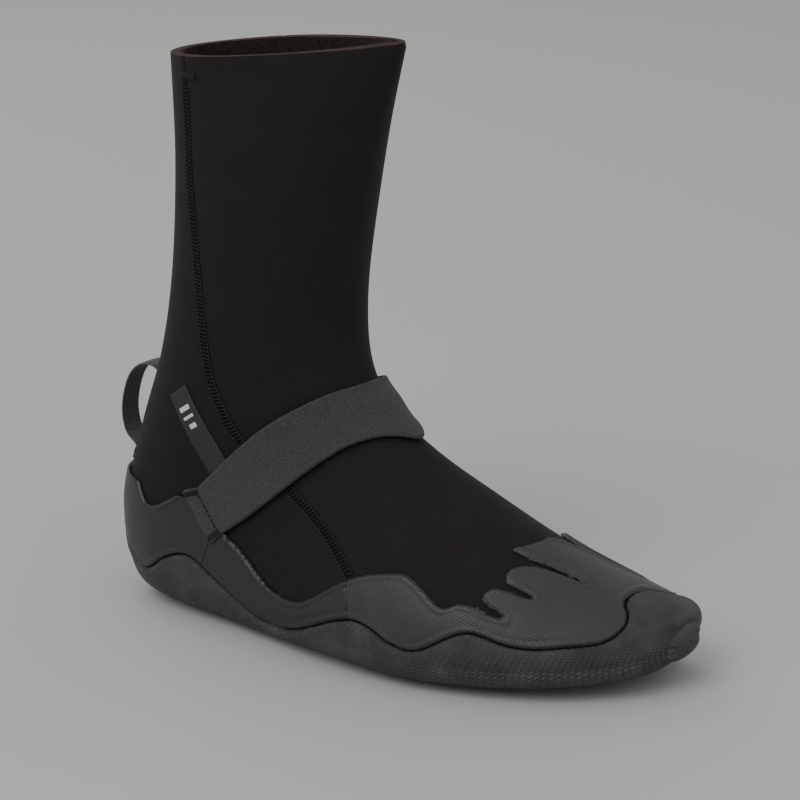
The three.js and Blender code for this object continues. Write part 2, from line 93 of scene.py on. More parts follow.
def along(station):
    """Uniform Catmull-Rom curve through the rows of STATIONS, read at an array of station numbers."""
    i = np.clip(np.floor(station).astype(int), 0, END - 1)
    t = (station - i)[..., None]
    b, c = STATIONS[i], STATIONS[i + 1]
    a = np.where((i > 0)[..., None], STATIONS[i - 1], 2 * b - c)
    d = np.where((i + 2 <= END)[..., None], STATIONS[np.minimum(i + 2, END)], 2 * c - b)
    return b + 0.5 * t * (c - a + t * (2 * a - 5 * b + 4 * c - d + t * (3 * (b - c) + d - a)))


def last(station, angle):
    """A point of the foam's outer face. Each ring is a superellipse with its own centre, half widths and
    exponents; angle 0 is its front or top and a quarter turn its outer side. Past the last ring the toe
    shrinks to a point on a quarter ellipse."""
    ring = np.minimum(station, END)
    fx, fz, bx, bz, middle, outer, inner, waist, top, bottom = np.moveaxis(along(ring), -1, 0)
    cos, sin = np.cos(angle), np.sin(angle)
    power = 2 / np.where(cos > 0, top, bottom)
    rise, width = np.abs(cos) ** power, np.abs(sin) ** power
    wx, wz = bx + waist * (fx - bx), bz + waist * (fz - bz)
    point = np.stack([
        wx + np.where(cos > 0, fx - wx, bx - wx) * rise,
        middle + np.where(sin > 0, -outer, inner) * width,
        wz + np.where(cos > 0, fz - wz, bz - wz) * rise,
    ], -1)
    closing = (np.maximum(station - END, 0) * math.pi / 2)[..., None]
    centre = np.stack([(fx + bx) / 2, middle, (fz + bz) / 2], -1)
    point = centre + (point - centre) * np.cos(closing)
    point[..., 0] += TOE_ROUND * np.sin(closing[..., 0])
    return point


def unit(vectors):
    return vectors / np.maximum(np.linalg.norm(vectors, axis=-1, keepdims=True), 1e-9)


def out_of_last(station, angle):
    """The outward normal of the last, from the cross product of its two slopes."""
    step = 0.02
    low, high = np.clip(station - step, 0, END + 0.93), np.minimum(station + step, END + 0.97)
    lengthwise = last(high, angle) - last(low, angle)
    around = last(station, angle + step) - last(station, angle - step)
    return -unit(np.cross(lengthwise, around))


# ---- pattern lines, in side view (x, z) unless they say plan ---------------------------------------------

def smooth(points, steps=6):
    """A uniform Catmull-Rom curve through points, with its ends repeated."""
    p = np.asarray(points, float)
    q = np.vstack([p[:1], p, p[-1:]])
    t = np.linspace(0, 1, steps, endpoint=False)[None, :, None]
    a, b, c, d = (q[k:len(p) - 1 + k][:, None] for k in range(4))
    curve = b + 0.5 * t * (c - a + t * (2 * a - 5 * b + 4 * c - d + t * (3 * (b - c) + d - a)))
    return np.vstack([curve.reshape(-1, 2), p[-1:]])


SEAM = smooth([
    (59, 268), (60, 240), (61, 205), (64, 177), (67, 147), (70, 122), (76, 105), (85, 90.5), (108, 73),
    (124, 63), (141, 51.5), (152, 43), (162, 28), (168, -20),
])
SOLE_SEAM = [(-40, 13), (225, 13), (262, 16), (277, 20), (320, 20)]
WAVE = smooth([
    (-12, 36), (4, 27.5), (15, 22.5), (24, 18.4), (32, 21), (41, 27.2), (48.4, 30.8), (55.2, 32.5),
    (61.5, 31.5), (68, 27.8), (77, 22.7), (87.5, 17), (97.3, 13), (108.4, 11.5), (122.3, 13.6),
    (134.3, 17.9), (143.7, 22), (152.4, 25), (159.4, 26.2), (168.2, 24.5), (176, 21.3), (184, 19.3),
    (191.3, 20), (198.6, 23.7), (205.3, 27.7), (211.4, 30.3), (217, 30.2), (224.3, 27.8),
    (231.6, 25.9), (240, 25.3), (249, 26), (257, 26.5),
])
BUMPER = smooth([
    (257, 26.5), (261, 27), (264.5, 28.6), (266.4, 31), (266.2, 33.2), (264.3, 35.5), (261.3, 37.6),
    (259.3, 39.6), (258.5, 44),
])
RUBBER_TOP = smooth([
    (-12, 91), (8, 91), (17, 90.5), (24, 88.5), (26.3, 84.5), (23.5, 78.5), (21.6, 71.7), (22.3, 64),
    (25.8, 56.5), (30.5, 51.5), (36, 52), (43, 55.4), (50, 60), (55, 64), (60, 66.7), (67, 65.3),
    (74, 54.6), (80, 46.8), (86, 43), (92, 38.6), (99.7, 32.4), (108, 28.2), (116.2, 26.2),
    (125.9, 27.1), (133.2, 30.8), (139.7, 35.2), (146, 39.2), (152.3, 42.6), (160, 45.8), (169, 48.2),
    (178.2, 49.5), (184.8, 47.9), (190.2, 45.2), (195.7, 41.8), (199.8, 39.8), (203.1, 40.2),
    (206, 41.5),
])
HEEL_JOIN = [(77, 60), (66, 29), (58, -20)]
BALL_JOIN = [(147, 60), (156, 26), (164, -20)]
VAMP_END = 204
FINGERS = smooth([  # plan
    (205, -45), (209, -44), (214, -42.6), (219, -41.5), (225.6, -38.9), (220, -39.7), (216, -39.6),
    (215.9, -37.5), (219, -34.6), (224, -32.2), (228.5, -30.2), (232.8, -27.7), (228, -28.6),
    (223.4, -30.2), (220.2, -29), (220.6, -25.8), (224, -20.4), (230, -14.7), (236.5, -10.1),
    (244.6, -4.6), (237, -8.6), (229.5, -12.9), (221.5, -17.1), (213.6, -18.9), (212, -16.8),
    (215.5, -11.5), (219, -4.5), (222.5, 4), (226.5, 10.8), (231.5, 16.8), (237.5, 22.6),
    (243.5, 28.6), (250, 34.5), (242.4, 30.6), (236.2, 25.2), (230, 21), (225, 19.6), (219.5, 20.3),
    (215.5, 24.3), (216.5, 33), (222, 41), (214, 43.5), (205, 44.5),
])
ANCHOR_FOLD = np.array([(64, 66.3), (78.6, 47.2)])  # top, bottom
ANCHOR_END = np.array([(55.3, 63.4), (72.3, 41.3)])
STRAP_TOP = smooth([ANCHOR_FOLD[0], (88, 91), (101.7, 102.4), (113.8, 110.2), (122.9, 114.9), (131, 116.8)])
STRAP_BOTTOM = smooth([
    (158, 94.2), (151, 96.2), (143, 95.8), (132.7, 91.6), (118.6, 80.6), (104.5, 68), (91, 56.5),
    ANCHOR_FOLD[1],
])
OVER_IT = [(150, 118), (178, 100)]
LOW, HIGH, TOP = -60, 330, 330


def outline(*parts):
    return np.vstack([np.asarray(p, float).reshape(-1, 2) for p in parts])


def below(line):
    line = np.asarray(line, float)
    return outline((LOW, line[0, 1]), line, (HIGH, line[-1, 1]), (HIGH, LOW), (LOW, LOW))


def ahead(line):
    line = np.asarray(line, float)
    return outline(line, (HIGH, line[-1, 1]), (HIGH, line[0, 1]))


def inside(outline_, a, b):
    """Distance in from an outline, negative outside: the least distance to its segments, with a sign
    from how often a ray to the right crosses them."""
    best = np.full(a.shape, np.inf)
    odd = np.zeros(a.shape, bool)
    for (x0, y0), (x1, y1) in zip(outline_, np.roll(outline_, -1, 0)):
        dx, dy = x1 - x0, y1 - y0
        t = np.clip(((a - x0) * dx + (b - y0) * dy) / max(dx * dx + dy * dy, 1e-12), 0, 1)
        best = np.minimum(best, (a - x0 - t * dx) ** 2 + (b - y0 - t * dy) ** 2)
        if y0 != y1:
            odd ^= ((y0 > b) != (y1 > b)) & (a < x0 + (b - y0) / dy * dx)
    return np.where(odd, 1, -1) * np.sqrt(best)


# ---- pieces cut from a layer round the last -------------------------------------------------------------

# The corners of a cell, in order, are 0 to 3, and the crossings on the edges after them 4 to 7. For each
# pattern of corners that are in (bit 0 for corner 0, and so on), the faces of the part that is in.
CELL_FACES = {
    1: [(0, 4, 7)], 2: [(1, 5, 4)], 3: [(0, 1, 5, 7)], 4: [(2, 6, 5)], 5: [(0, 4, 7), (2, 6, 5)],
    6: [(1, 2, 6, 4)], 7: [(0, 1, 2, 6, 7)], 8: [(3, 7, 6)], 9: [(0, 4, 6, 3)], 10: [(1, 5, 4), (3, 7, 6)],
    11: [(0, 1, 5, 6, 3)], 12: [(2, 3, 7, 5)], 13: [(0, 4, 5, 2, 3)], 14: [(1, 2, 3, 7, 4)],
    15: [(0, 1, 2, 3)],
}


def cut_grid(phi):
    """The faces of a grid, closed round its second axis, where phi is above zero. Grid points near the
    zero line are first moved onto it, down phi's slope; every other crossed grid edge gets a vertex where
    phi would be zero. Returns each vertex's place in grid steps, and faces."""
    rows, columns = phi.shape
    ij = np.stack(np.meshgrid(np.arange(rows), np.arange(columns), indexing="ij"), -1).astype(float)
    slope = np.stack([np.gradient(phi, axis=0), (np.roll(phi, -1, 1) - np.roll(phi, 1, 1)) / 2], -1)
    move = -phi[..., None] * slope / np.maximum((slope * slope).sum(-1, keepdims=True), 1e-9)
    near = np.abs(phi) < 0.45 * np.linalg.norm(slope, axis=-1)
    near[[0, -1]] = False
    ij = np.where(near[..., None], ij + move, ij)
    phi = np.where(near | (phi == 0), 1e-6, phi)
    right = np.roll(phi, -1, 1)
    share_down = phi[:-1] / np.where(phi[:-1] == phi[1:], 1, phi[:-1] - phi[1:])
    share_right = phi / np.where(phi == right, 1, phi - right)
    right_of = np.roll(ij, -1, 1)
    right_of[:, -1, 1] += columns
    down = ij[:-1] + share_down[..., None] * (ij[1:] - ij[:-1])
    across = ij + share_right[..., None] * (right_of - ij)
    places = np.vstack([ij.reshape(-1, 2), down.reshape(-1, 2), across.reshape(-1, 2)])
    corner = np.arange(rows * columns).reshape(rows, columns)
    down_id = rows * columns + np.arange((rows - 1) * columns).reshape(rows - 1, columns)
    across_id = rows * columns + (rows - 1) * columns + corner
    shift = lambda ids: np.roll(ids, -1, 1)
    cell = np.stack([
        corner[:-1], corner[1:], shift(corner)[1:], shift(corner)[:-1],
        down_id, across_id[1:], shift(down_id), across_id[:-1],
    ], -1)
    is_in = phi.reshape(-1)[cell[..., :4]] > 0
    pattern = is_in @ np.array([1, 2, 4, 8])
    faces = []
    for code, polygons in CELL_FACES.items():
        chosen = cell[pattern == code]
        for polygon in polygons:
            block = np.full((len(chosen), 5), -1)
            block[:, :len(polygon)] = chosen[:, list(polygon)][:, ::-1]
            faces.append(block)
    faces = np.vstack(faces)
    used = np.unique(faces[faces >= 0])
    remap = np.full(len(places) + 1, -1)
    remap[used] = np.arange(len(used))
    return places[used], remap[faces]


def slope_along(phi, point):
    """How fast phi changes for each millimetre along the surface, from its slopes along both grid axes."""
    ps, pt = np.gradient(point, axis=0), (np.roll(point, -1, 1) - np.roll(point, 1, 1)) / 2
    fs, ft = np.gradient(phi, axis=0), (np.roll(phi, -1, 1) - np.roll(phi, 1, 1)) / 2
    ss, tt, st = (ps * ps).sum(-1), (pt * pt).sum(-1), (ps * pt).sum(-1)
    area = np.maximum(ss * tt - st * st, 1e-9)
    slope = np.sqrt(np.maximum((tt * fs * fs - 2 * st * fs * ft + ss * ft * ft) / area, 0))
    return np.clip(slope, 0.2, 1.0)


def piece(name, vertices, faces, material, uv=None, face_materials=None, extra=()):
    """A mesh object from points in pattern millimetres and faces padded with -1, smooth shaded."""
    mesh = bpy.data.meshes.new(name)
    mesh.from_pydata(metres(vertices).tolist(), [], [[v for v in f if v >= 0] for f in faces.tolist()])
    mesh.polygons.foreach_set("use_smooth", np.ones(len(mesh.polygons), bool))
    mesh.set_sharp_from_angle(angle=math.radians(50))
    for m in (material, *extra):
        mesh.materials.append(m)
    if face_materials is not None:
        mesh.polygons.foreach_set("material_index", face_materials.astype(np.int32))
    if uv is not None:
        layer = mesh.uv_layers.new(name="along_cloth")
        corners = faces[faces >= 0]
        values = uv[corners]
        if uv.shape[1] == 3:  # the third column is the way round, where a face that straddles the end wraps
            wraps = np.where(faces >= 0, uv[faces][..., 0], np.nan)
            spread = np.nanmax(wraps, 1) - np.nanmin(wraps, 1)
            length = uv[faces[:, 0], 2]
            straddles = np.repeat(spread > length / 2, (faces >= 0).sum(1))
            values[straddles & (values[:, 0] < 0), 0] += values[straddles & (values[:, 0] < 0), 2]
        layer.data.foreach_set("uv", (values[:, :2] / 1000).astype(np.float32).ravel())
    work = bmesh.new()
    work.from_mesh(mesh)
    bmesh.ops.remove_doubles(work, verts=work.verts, dist=2e-7)
    work.to_mesh(mesh)
    work.free()
    obj = bpy.data.objects.new(name, mesh)
    bpy.context.scene.collection.objects.link(obj)
    return obj


def layer_piece(name, material, region, inner, outer, stations, cells, edge=None, **extra):
    """A closed piece of a layer round the last. region(point, angle) is the distance in from the piece's
    outline; edge is the same for the outline's rounded edges. inner and outer are distances out from the
    last: a number, or a function of the distance in from the rounded edge, the normal and the point."""
    rows = np.linspace(*stations, cells[0])
    columns = np.linspace(-math.pi, math.pi, cells[1], endpoint=False)
    s, t = np.meshgrid(rows, columns, indexing="ij")
    point = last(s, t)
    edge = edge or region
    phi = region(point, t)
    places, faces = cut_grid(phi / slope_along(phi, point))
    steepness = slope_along(edge(point, t), point)
    lengthwise = np.linalg.norm(np.diff(last(rows, np.full_like(rows, math.pi / 2)), axis=0), axis=1)
    length = np.concatenate([[0], np.cumsum(lengthwise)])
    step = np.linalg.norm(np.roll(point, -1, 1) - point, axis=-1)
    girth = step.sum(1)
    round_ = np.cumsum(step, 1) - step - girth[:, None] / 2

    i0 = np.clip(np.floor(places[:, 0]).astype(int), 0, len(rows) - 1)
    i1 = np.minimum(i0 + 1, len(rows) - 1)
    fi = places[:, 0] - i0
    j0 = np.floor(places[:, 1]).astype(int) % len(columns)
    j1 = (j0 + 1) % len(columns)
    fj = places[:, 1] - np.floor(places[:, 1])
    su = rows[i0] * (1 - fi) + rows[i1] * fi
    tu = -math.pi + places[:, 1] * 2 * math.pi / len(columns)
    base, normal = last(su, tu), out_of_last(su, tu)
    slope = (1 - fi) * (steepness[i0, j0] * (1 - fj) + steepness[i0, j1] * fj)
    slope += fi * (steepness[i1, j0] * (1 - fj) + steepness[i1, j1] * fj)
    depth = np.maximum(edge(base, tu) / slope, 0)
    around = (1 - fi) * (round_[i0, j0] + fj * step[i0, j0]) + fi * (round_[i1, j0] + fj * step[i1, j0])
    sides = []
    for value in (outer, inner):
        distance = value(depth, normal, base) if callable(value) else np.full(len(base), float(value))
        share = np.maximum(su - TOE_START, 0) / (END + 0.75 - TOE_START)
        kept = np.where(distance < -1, su + TOE_INSET * distance * share ** 2, su)
        sides.append(last(kept, tu) + out_of_last(kept, tu) * distance[:, None])
    if "floor" in extra:
        sides[0][:, 2] = np.maximum(sides[0][:, 2], extra["floor"])
    pole = su > END + 0.999
    if pole.any():
        for side in sides:
            side[pole] = side[pole].mean(0)
    count = len(base)
    inner_faces = np.where(faces >= 0, faces + count, -1)
    flipped = np.full_like(inner_faces, -1)
    sizes = (faces >= 0).sum(1)
    for n in (3, 4, 5):
        flipped[sizes == n, :n] = inner_faces[sizes == n, :n][:, ::-1]
    start = faces[faces >= 0]
    following = np.concatenate([np.roll(faces[k, :n], -1) for k, n in enumerate(sizes)])
    key = start * (count + 1) + following
    boundary = ~np.isin(key, following * (count + 1) + start) & ~(pole[start] & pole[following])
    u, v = start[boundary], following[boundary]
    walls = np.stack([v, u, u + count, v + count, np.full(len(u), -1)], -1)
    uv = np.tile(np.stack([around, length[i0] * (1 - fi) + length[i1] * fi, girth[i0]], -1), (2, 1))
    which = np.repeat([0, 2, 1], [len(faces), len(flipped), len(walls)])
    obj = piece(name, np.vstack(sides), np.vstack([faces, flipped, walls]), material, uv,
                np.minimum(which, len(extra.get("materials", ()))), extra.get("materials", ()))
    return obj


# ---- finishes ------------------------------------------------------------------------------------------

def linear(code):
    """An sRGB hex colour as linear red, green, blue and alpha."""
    parts = [int(code[k:k + 2], 16) / 255 for k in (0, 2, 4)]
    return [c / 12.92 if c <= 0.04045 else ((c + 0.055) / 1.055) ** 2.4 for c in parts] + [1.0]


def add(tree, kind, links=None, values=None, **settings):
    """A node with its settings, its socket values and its incoming links."""
    node = tree.nodes.new(kind)
    for key, value in settings.items():
        setattr(node, key, value)
    for key, value in (values or {}).items():
        node.inputs[key].default_value = value
    for key, socket in (links or {}).items():
        tree.links.new(socket, node.inputs[key])
    return node


def finish(name, roughness, specular=0.5, sheen=0.0, sheen_colour="ffffff", sheen_roughness=0.5):
    """A new material: its node tree, its shader and its texture coordinates."""
    material = bpy.data.materials.new(name)
    material.use_nodes = True
    tree = material.node_tree
    shader = tree.nodes["Principled BSDF"]
    shader.inputs["Roughness"].default_value = roughness
    shader.inputs["Specular IOR Level"].default_value = specular
    shader.inputs["Sheen Weight"].default_value = sheen
    shader.inputs["Sheen Roughness"].default_value = sheen_roughness
    shader.inputs["Sheen Tint"].default_value = linear(sheen_colour)
    return material, tree, shader, add(tree, "ShaderNodeTexCoord")


def maths(tree, operation, a, b=0.0, c=0.0, clamp=False):
    """One Math node; a, b and c are sockets or numbers."""
    node = add(tree, "ShaderNodeMath", operation=operation, use_clamp=clamp)
    for k, value in enumerate((a, b, c)):
        if isinstance(value, (int, float)):
            node.inputs[k].default_value = value
        else:
            tree.links.new(value, node.inputs[k])
    return node.outputs[0]


def colours(tree, factor, *stops):
    """A colour ramp over (position, hex colour) stops."""
    ramp = add(tree, "ShaderNodeValToRGB", {"Fac": factor})
    while len(ramp.color_ramp.elements) < len(stops):
        ramp.color_ramp.elements.new(1.0)
    for element, (position, code) in zip(ramp.color_ramp.elements, stops):
        element.position = position
        element.color = linear(code)
    return ramp.outputs[0]


def ripples(tree, coords, pitch_mm, turn=0.0):
    """A sine wave of the given pitch across the cloth, -1 to 1, turned by an angle. Reads metres."""
    split = add(tree, "ShaderNodeSeparateXYZ", {0: coords})
    k = 2 * math.pi / (pitch_mm / 1000)
    across = maths(tree, "MULTIPLY", split.outputs[0], k * math.cos(turn))
    return maths(tree, "SINE", maths(tree, "MULTIPLY_ADD", split.outputs[1], k * math.sin(turn), across))


def cloud(tree, coords, size_mm, detail=4.0, roughness=0.55):
    return add(tree, "ShaderNodeTexNoise", {"Vector": coords},
               {"Scale": 1000 / size_mm, "Detail": detail, "Roughness": roughness}).outputs[0]


def cells(tree, coords, size_mm):
    return add(tree, "ShaderNodeTexVoronoi", {"Vector": coords}, {"Scale": 1000 / size_mm}).outputs[0]


def bump(tree, shader, height, depth_mm, strength=1.0):
    values = {"Strength": strength, "Distance": depth_mm / 1000}
    node = add(tree, "ShaderNodeBump", {"Height": height}, values)
    tree.links.new(node.outputs[0], shader.inputs["Normal"])


def jersey():
    """Nylon jersey on foam: warm black, knit wales down the leg, and a faint bloom at grazing angles."""
    material, tree, shader, at = finish("nylon_jersey", 0.85, 0.2, 0.2, "6b625c", 0.45)
    wales = ripples(tree, at.outputs["UV"], 1.2)
    courses = ripples(tree, at.outputs["UV"], 1.5, math.pi / 2)
    patchy = cloud(tree, at.outputs["Object"], 14)
    fuzz = cloud(tree, at.outputs["Object"], 0.9, 2.0)
    knit = maths(tree, "MULTIPLY_ADD", maths(tree, "MULTIPLY", wales, courses), 0.3, wales)
    height = maths(tree, "MULTIPLY_ADD", fuzz, 2.2, knit)
    bump(tree, shader, height, 0.035, 0.6)
    tone = maths(tree, "MULTIPLY_ADD", fuzz, 0.5, maths(tree, "MULTIPLY", patchy, 0.25))
    tree.links.new(colours(tree, tone, (0.12, "181514"), (0.62, "262321")), shader.inputs["Base Color"])
    return material


def cut_foam():
    """The raw edge of the foam: matt, brown-black, with fine closed cells."""
    material, tree, shader, at = finish("cut_foam_edge", 0.95, 0.2)
    bump(tree, shader, cells(tree, at.outputs["Object"], 0.5), 0.1, 0.6)
    tone = cloud(tree, at.outputs["Object"], 5)
    tree.links.new(colours(tree, tone, (0.3, "33261f"), (0.7, "48362e")), shader.inputs["Base Color"])
    return material


def fleece():
    """Brushed lining: black, very matt, tufted at about 2 mm."""
    material, tree, shader, at = finish("brushed_fleece", 1.0, 0.1, 0.4, "5c5450", 0.6)
    tufts = cloud(tree, at.outputs["Object"], 2.2, 5.0, 0.7)
    bump(tree, shader, tufts, 0.5, 0.8)
    tree.links.new(colours(tree, tufts, (0.3, "1a1614"), (0.7, "38312d")), shader.inputs["Base Color"])
    return material


def hexagons(tree, coords, pitch_mm):
    """The sum of three waves a third of a half turn apart: round pips on a hexagonal grid, 0 to 1."""
    total = ripples(tree, coords, pitch_mm)
    for turn in (math.pi / 3, 2 * math.pi / 3):
        total = maths(tree, "ADD", total, ripples(tree, coords, pitch_mm, turn))
    return maths(tree, "MULTIPLY_ADD", total, 0.2, 0.5)


def grain_rubber():
    """Moulded natural rubber with a fine hexagonal grain, semi-matt, dark grey."""
    material, tree, shader, at = finish("moulded_rubber_grain", 0.42, 0.6)
    pips = hexagons(tree, at.outputs["UV"], 1.25)
    patchy = cloud(tree, at.outputs["Object"], 12)
    bump(tree, shader, pips, 0.16, 1.0)
    tone = maths(tree, "MULTIPLY_ADD", pips, 0.35, maths(tree, "MULTIPLY", patchy, 0.65))
    tree.links.new(colours(tree, tone, (0.25, "222221"), (0.75, "343433")), shader.inputs["Base Color"])
    tree.links.new(maths(tree, "MULTIPLY_ADD", patchy, 0.25, 0.3), shader.inputs["Roughness"])
    return material


def smooth_rubber():
    """Moulded rubber, smooth, semi-matt and slightly warm, with faint handling marks."""
    material, tree, shader, at = finish("moulded_rubber_smooth", 0.4, 0.6)
    patchy = cloud(tree, at.outputs["Object"], 16)
    fine = cloud(tree, at.outputs["Object"], 0.7, 2.0)
    bump(tree, shader, maths(tree, "MULTIPLY_ADD", patchy, 6.0, fine), 0.03, 0.5)
    tree.links.new(colours(tree, patchy, (0.3, "181716"), (0.7, "242221")), shader.inputs["Base Color"])
    tree.links.new(maths(tree, "MULTIPLY_ADD", patchy, 0.3, 0.3), shader.inputs["Roughness"])
    return material


def sole_rubber():
    """Outsole rubber: matt dark grey, with moulded ribs about a millimetre apart that run in zigzags."""
    material, tree, shader, at = finish("outsole_rubber", 0.6, 0.45)
    split = add(tree, "ShaderNodeSeparateXYZ", {0: at.outputs["UV"]})
    zigzag = maths(tree, "PINGPONG", split.outputs[1], 0.0014)
    k = 2 * math.pi / 0.00125
    ribs = maths(tree, "SINE", maths(tree, "MULTIPLY", maths(tree, "ADD", split.outputs[0], zigzag), k))
    patchy = cloud(tree, at.outputs["Object"], 14)
    bump(tree, shader, ribs, 0.17, 1.0)
    tone = maths(tree, "MULTIPLY_ADD", ribs, 0.12, patchy)
    tree.links.new(colours(tree, tone, (0.3, "303030"), (0.75, "4b4b4a")), shader.inputs["Base Color"])
    return material


def webbing(name, dark, light, pitch, roughness=0.85, sheen=0.25):
    """Woven tape: warp and weft bumps at the yarn pitch, with a brushed surface."""
    material, tree, shader, at = finish(name, roughness, 0.3, sheen, "b0b0b4", 0.5)
    weave = maths(tree, "MULTIPLY", ripples(tree, at.outputs["UV"], pitch, math.pi / 4),
                  ripples(tree, at.outputs["UV"], pitch, -math.pi / 4))
    fuzz = cloud(tree, at.outputs["Object"], 0.8, 3.0, 0.7)
    height = maths(tree, "MULTIPLY_ADD", fuzz, 2.0, weave)
    bump(tree, shader, height, 0.12, 0.8)
    tone = maths(tree, "MULTIPLY_ADD", weave, 0.15, fuzz)
    tree.links.new(colours(tree, tone, (0.25, dark), (0.75, light)), shader.inputs["Base Color"])
    return material


def thread():
    """Bonded polyester thread: black with a slight gloss."""
    material, tree, shader, at = finish("bonded_polyester_thread", 0.55, 0.4)
    tree.links.new(colours(tree, cloud(tree, at.outputs["Object"], 3), (0.3, "0d0c0c"), (0.7, "1d1b1b")),
                   shader.inputs["Base Color"])
    return material


def pile(name, size, depth):
    """Hook or loop tape: black, with dense short pile."""
    material, tree, shader, at = finish(name, 0.9, 0.3, 0.3, "77777a")
    tufts = cells(tree, at.outputs["Object"], size)
    bump(tree, shader, tufts, depth, 1.0)
    tree.links.new(colours(tree, tufts, (0.1, "0e0e0f"), (0.8, "29292b")), shader.inputs["Base Color"])
    return material


def printed(name, dark, light, roughness):
    """Satin woven label, or the ink on it."""
    material, tree, shader, at = finish(name, roughness, 0.5)
    ribs = ripples(tree, at.outputs["UV"], 0.7)
    fine = cloud(tree, at.outputs["Object"], 1.2)
    bump(tree, shader, maths(tree, "MULTIPLY_ADD", ribs, 0.5, fine), 0.05, 0.5)
    tree.links.new(colours(tree, fine, (0.3, dark), (0.7, light)), shader.inputs["Base Color"])
    return material


JERSEY, CUT_FOAM, FLEECE = jersey(), cut_foam(), fleece()
GRAIN, SMOOTH, SOLE_RUBBER = grain_rubber(), smooth_rubber(), sole_rubber()
THREAD = thread()
STRAP_WEB = webbing("brushed_elastic_webbing", "2c2c2e", "4c4c4f", 1.5, 0.9, 0.16)
LOOP_WEB = webbing("jacquard_webbing", "242427", "67676b", 1.9, 0.75, 0.1)
SEAM_TAPE = printed("glued_seam_tape", "101010", "1c1c1c", 0.7)
HOOKS, LOOPS = pile("hook_tape", 1.1, 0.4), pile("loop_pile", 0.7, 0.3)
LABEL = printed("satin_label", "1c1c1d", "2a2a2c", 0.6)
INK = printed("reflective_ink", "b9b9b4", "dcdcd6", 0.4)


# ---- helpers for pieces ---------------------------------------------------------------------------------

def side_view(outline_):
    return lambda point, angle: inside(outline_, point[..., 0], point[..., 2])


def rounded(height, radius, start=0.45):
    """Height over the distance in from an edge: from a share of the full height, a quarter of a sine wave
    up to it at the radius."""
    def profile(depth, normal=None, base=None):
        return height * (start + (1 - start) * np.sin(np.minimum(depth / radius, 1) * math.pi / 2))
    return profile


def put(obj, slot, *nodes, body="boot"):
    """Rides a piece on a body and lets it stand for frame nodes; the slot is not used."""
    if body:
        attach(obj, body)
    if nodes:
        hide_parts(*nodes)
    return obj


# ---- the sewn sock ---------------------------------------------------------------------------------------

AHEAD = ahead(SEAM + [GAP / 2, 0])
BEHIND = outline(SEAM - [GAP / 2, 0], (LOW, SEAM[-1, 1]), (LOW, SEAM[0, 1]))
UNDER = below(SOLE_SEAM)


def foam_panels():
    def above_sole(point, angle):
        return -side_view(UNDER)(point, angle) - GAP / 2

    def skin(depth, normal, base):
        return rounded(1.0, 1.5, 0.0)(depth) - 1.0

    for name, outline_, stations, cells in (
        ("front_panel", AHEAD, (0, END + 1), (300, 190)),
        ("rear_panel", BEHIND, (0, 9.6), (260, 190)),
    ):
        side = side_view(outline_)
        panel = layer_piece(name + "_jersey", JERSEY, lambda p, t: np.minimum(side(p, t), above_sole(p, t)),
                            -FOAM, skin, stations, cells, edge=side, materials=(CUT_FOAM,))
        put(panel, "jersey_foam", name)
    sole = layer_piece("sole_panel_jersey", JERSEY, lambda p, t: side_view(UNDER)(p, t) - GAP / 2,
                       -FOAM, 0.0, (4.4, END + 1), (150, 120), materials=(CUT_FOAM,))
    put(sole, "jersey_foam", "sole_panel")


def lining():
    everywhere = lambda point, angle: np.full(angle.shape, 5.0)
    under_foam = -FOAM - GAP
    sock = layer_piece("fleece_lining", FLEECE, everywhere, under_foam - LINING, under_foam,
                       (0, END + 1), (170, 110))
    put(sock, "lining_fleece", "thermal_lining")
    tape_out = under_foam - LINING - GAP
    for name, sign in (("outer", -1), ("inner", 1)):
        def strip(point, angle):
            return np.minimum(6 - to_line(SEAM, point), sign * point[..., 1] - 3)
        tape = layer_piece(name + "_glued_tape", SEAM_TAPE, strip, tape_out - TAPE,
                           lambda d, n, b: tape_out - TAPE + rounded(TAPE, 0.8)(d), (0.5, 8.5), (240, 230))
        put(tape, "seam_tape", name + "_seam_tape")


def to_line(line, point):
    """Distance in side view to a line: the least over its segments."""
    a, b = point[..., 0], point[..., 2]
    best = np.full(a.shape, np.inf)
    for (x0, y0), (x1, y1) in zip(line[:-1], line[1:]):
        dx, dy = x1 - x0, y1 - y0
        t = np.clip(((a - x0) * dx + (b - y0) * dy) / (dx * dx + dy * dy), 0, 1)
        best = np.minimum(best, (a - x0 - t * dx) ** 2 + (b - y0 - t * dy) ** 2)
    return np.sqrt(best)


# ---- moulded rubber --------------------------------------------------------------------------------------

SOLE_ZONE = outline(WAVE, BUMPER[1:], (BUMPER[-1, 0], TOP), (HIGH, TOP), (HIGH, LOW), (LOW, LOW),
                    (LOW, WAVE[0, 1]))
VAMP = outline(RUBBER_TOP, (VAMP_END + 1, TOP), (LOW, TOP), (LOW, RUBBER_TOP[0, 1]))
TOE_OPEN = outline(FINGERS, (VAMP_END, 44.5), (VAMP_END, -44.5))


def foxing(point, angle):
    """Distance in from the edge of all the rubber above the outsole."""
    x, y, z = np.moveaxis(point, -1, 0)
    fingers = np.minimum(inside(TOE_OPEN, x, y), z - 34)
    return -np.maximum(np.maximum(inside(SOLE_ZONE, x, z) + GAP, inside(VAMP, x, z)), fingers)


def lipped(depth, normal, base):
    """Rubber of even thickness with a round edge, a low bead just inside it and a fine groove behind."""
    bead = 0.35 * np.exp(-((depth - 1.8) / 0.8) ** 2) - 0.22 * np.exp(-((depth - 3.6) / 0.5) ** 2)
    return GAP + rounded(RUBBER, 1.5, 0.35)(depth) + bead


